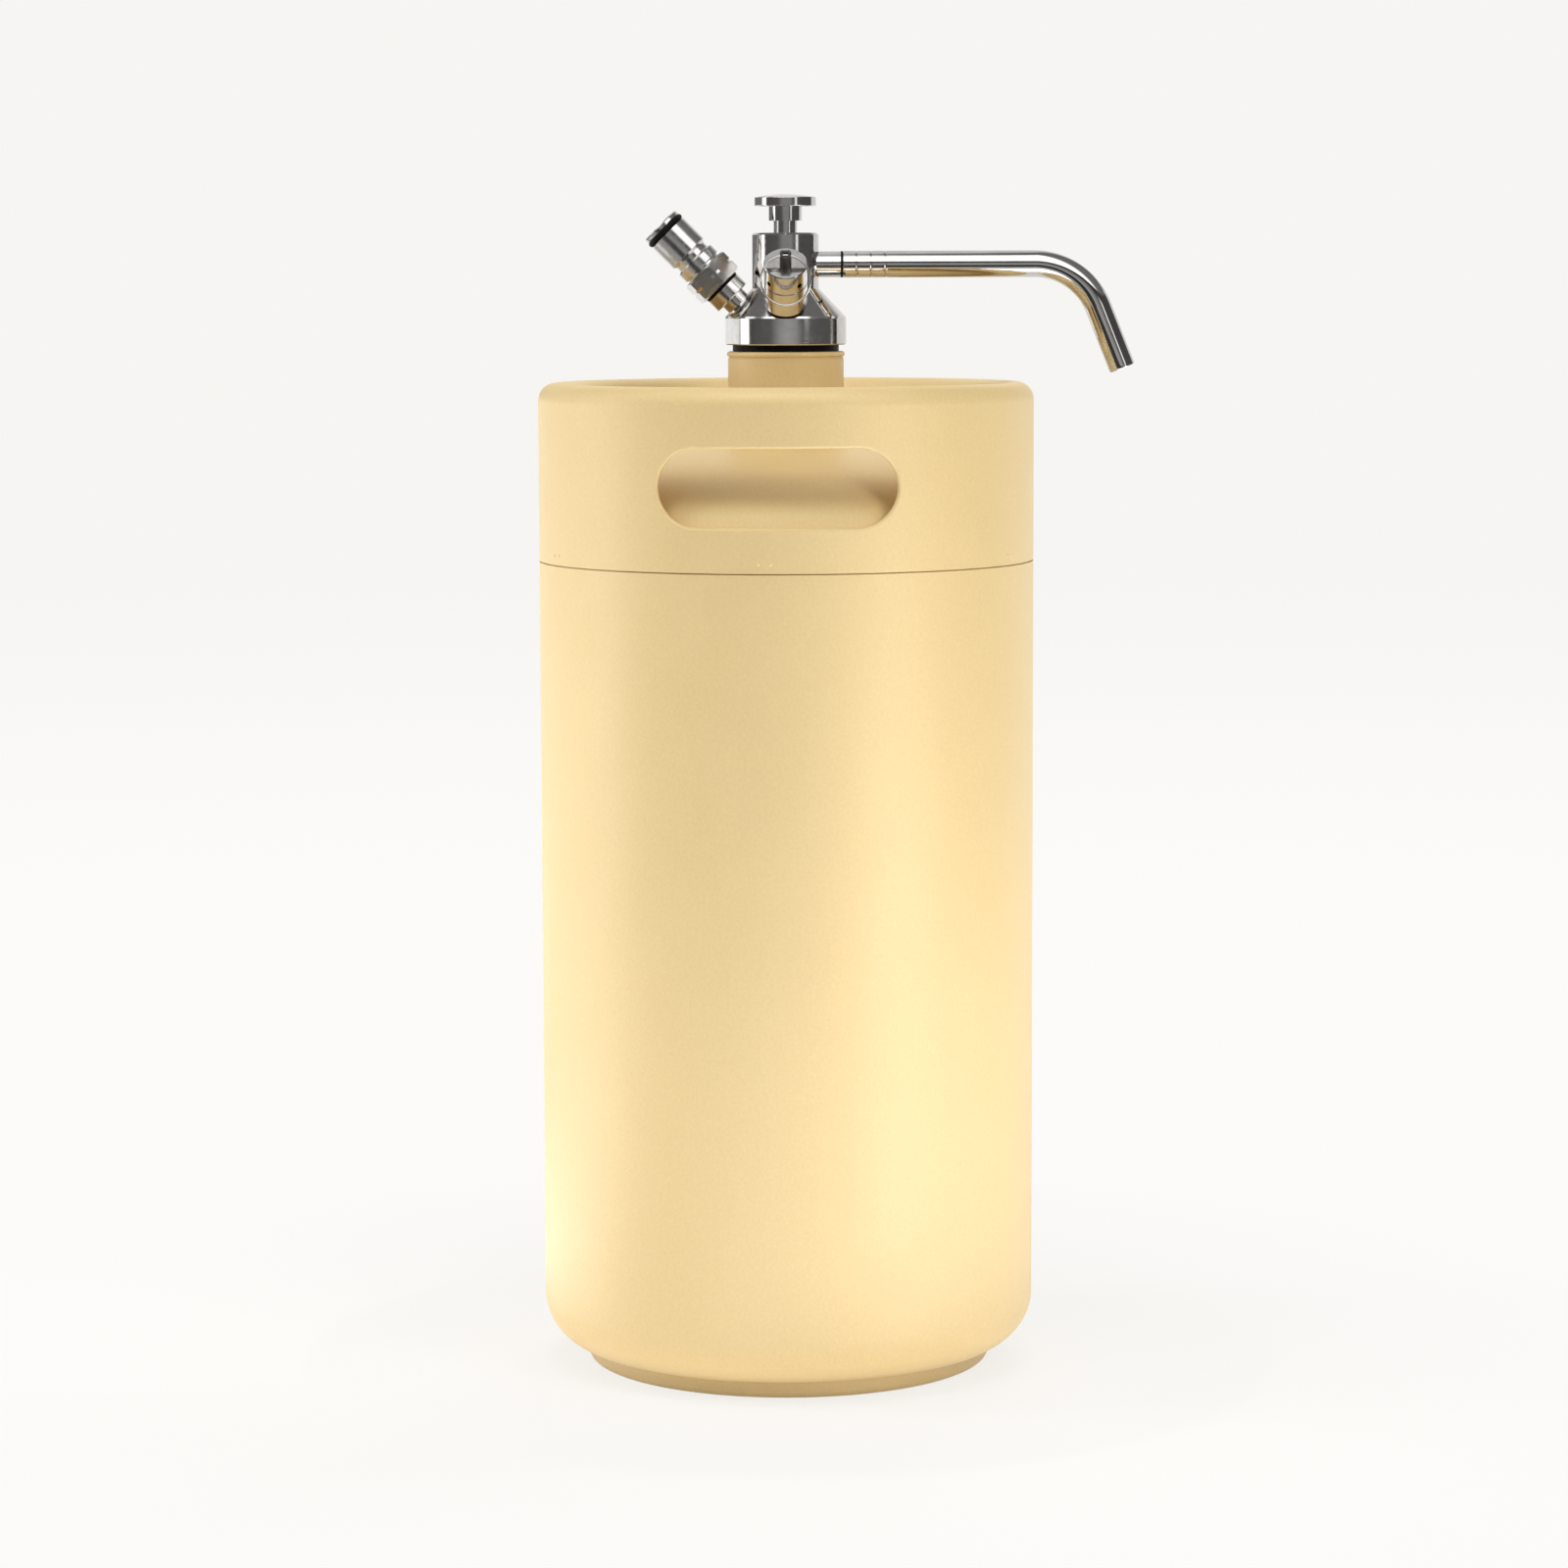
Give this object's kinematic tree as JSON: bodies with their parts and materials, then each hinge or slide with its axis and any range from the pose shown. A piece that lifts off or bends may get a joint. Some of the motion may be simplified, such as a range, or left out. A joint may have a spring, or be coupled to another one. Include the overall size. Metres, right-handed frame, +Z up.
{
  "type": "mini keg beer dispenser",
  "caption": "Upright steel mini keg with rolled top rim, two hand openings and a screw-in tap: press knob, gas post, ring-pull relief valve and a swivelling bent spout.",
  "frame": {"origin": "centre of the foot ring, on the floor", "axes": "+Z up along the keg's axis, +X along the spout, -Y towards the relief valve"},
  "size_m": [0.2408, 0.2, 0.4744],
  "materials": {
    "powder_coat": "matte pale yellow powder coat",
    "turned_steel": "turned and polished stainless steel",
    "black_rubber": "matte black rubber",
    "spring_steel": "drawn spring wire"
  },
  "bodies": {
    "keg": {"vessel_shell": "powder_coat", "vessel_head": "powder_coat", "top_chime": "powder_coat", "foot_ring": "powder_coat", "neck_collar": "powder_coat"},
    "gasket": {"neck_gasket": "black_rubber"},
    "dip": {"dip_tube": "turned_steel"},
    "tap": {"tap_body": "turned_steel", "dip_tube_nut": "turned_steel", "dip_tube_o_ring": "black_rubber", "outlet_nipple": "turned_steel", "spout_o_rings": "black_rubber", "spout_washer": "black_rubber", "post_adapter": "turned_steel", "post_seal": "black_rubber", "gas_post": "turned_steel", "post_o_ring": "black_rubber", "relief_seal": "black_rubber", "relief_body": "turned_steel", "relief_cap": "turned_steel", "valve_spring": "spring_steel", "poppet_spring": "spring_steel", "relief_spring": "spring_steel"},
    "plunger": {"valve_knob": "turned_steel", "valve_stem": "turned_steel", "stem_o_rings": "black_rubber", "valve_washer": "black_rubber"},
    "spout": {"spout": "turned_steel"},
    "poppet": {"post_poppet": "turned_steel", "poppet_seal": "black_rubber"},
    "relief": {"relief_stem": "turned_steel", "relief_disc": "black_rubber"},
    "ring": {"relief_ring": "turned_steel"}
  },
  "joints": [
    {"name": "tap_lift_out", "type": "slide", "parent": "keg", "child": "gasket", "axis": [0, 0, 1], "range_m": [0, 0.42]},
    {"name": "tap_rise", "type": "slide", "parent": "gasket", "child": "dip", "axis": [0, 0, 1], "range_m": [0, 0.0091]},
    {"name": "tap_unscrew", "type": "hinge", "parent": "dip", "child": "tap", "pos_m": [0, 0, 0.4114], "axis": [0, 0, 1], "range_deg": [0, 1080]},
    {"name": "knob_press", "type": "slide", "parent": "tap", "child": "plunger", "axis": [0, 0, -1], "range_m": [0, 0.004], "stiffness_N_per_m": 1500, "springref_m": -0.004, "deforming": ["valve_spring"]},
    {"name": "spout_swivel", "type": "hinge", "parent": "tap", "child": "spout", "pos_m": [0.023, 0, 0.4462], "axis": [1, 0, 0], "continuous": true},
    {"name": "poppet_press", "type": "slide", "parent": "tap", "child": "poppet", "axis": [0.7071, 0, -0.7071], "range_m": [0, 0.002], "stiffness_N_per_m": 1000, "springref_m": -0.003, "deforming": ["poppet_spring"]},
    {"name": "relief_pull", "type": "slide", "parent": "tap", "child": "relief", "axis": [0, -0.7071, 0.7071], "range_m": [0, 0.0025], "stiffness_N_per_m": 3000, "springref_m": -0.003, "deforming": ["relief_spring"]},
    {"name": "ring_swing", "type": "hinge", "parent": "relief", "child": "ring", "pos_m": [0, -0.03791, 0.44948], "axis": [-1, 0, 0], "range_deg": [-3, 175]}
  ],
  "couplings": [
    {"joint": "tap_rise", "follows": "tap_unscrew", "m_per_rad": 0.00047746}
  ]
}
